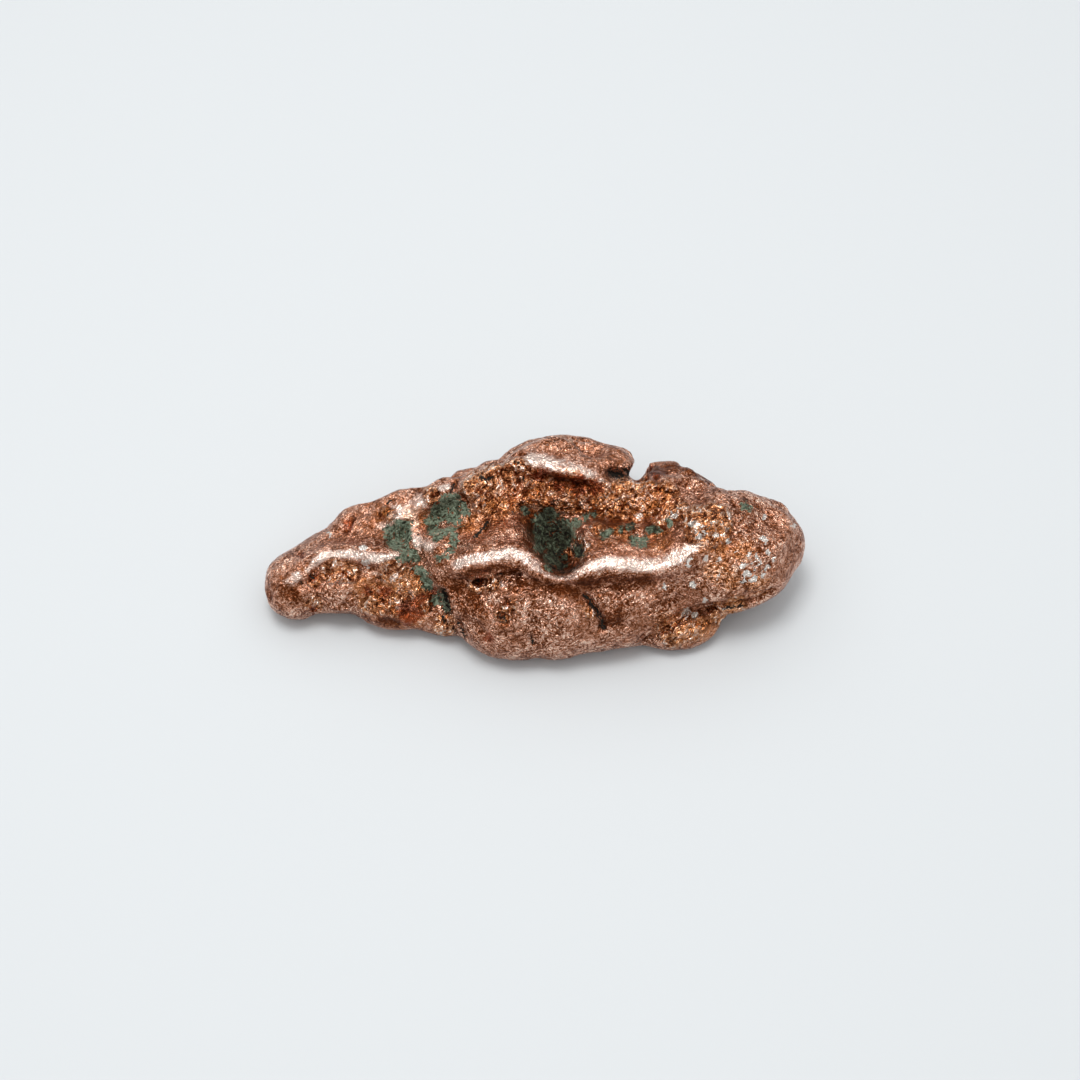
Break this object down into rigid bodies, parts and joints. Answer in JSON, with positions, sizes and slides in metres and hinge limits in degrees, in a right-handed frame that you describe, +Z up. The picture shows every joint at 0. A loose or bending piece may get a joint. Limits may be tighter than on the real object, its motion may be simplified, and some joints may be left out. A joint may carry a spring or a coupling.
{
  "type": "native copper nugget",
  "caption": "Long, lumpy water-worn nugget of native copper with a knobbed narrow end, a deep matrix-lined pit, raised crests and a notched back edge; lies on its worn flat underside.",
  "frame": {"origin": "middle of the bounding box's base, on the surface that the nugget lies on", "axes": "+X along the nugget's length from the knobbed narrow end to the blunt end, +Z up, out of the face with the pit, +Y towards the notched back edge"},
  "size_m": [0.068, 0.03, 0.0152],
  "materials": {
    "copper": "worn native copper, satin pinkish brown on the rounded outside, brighter and granular in the hollows, with dull green matrix in the deepest places and a few silver-grey flecks"
  },
  "bodies": {
    "root": {"copper_nugget": "copper"}
  },
  "joints": []
}
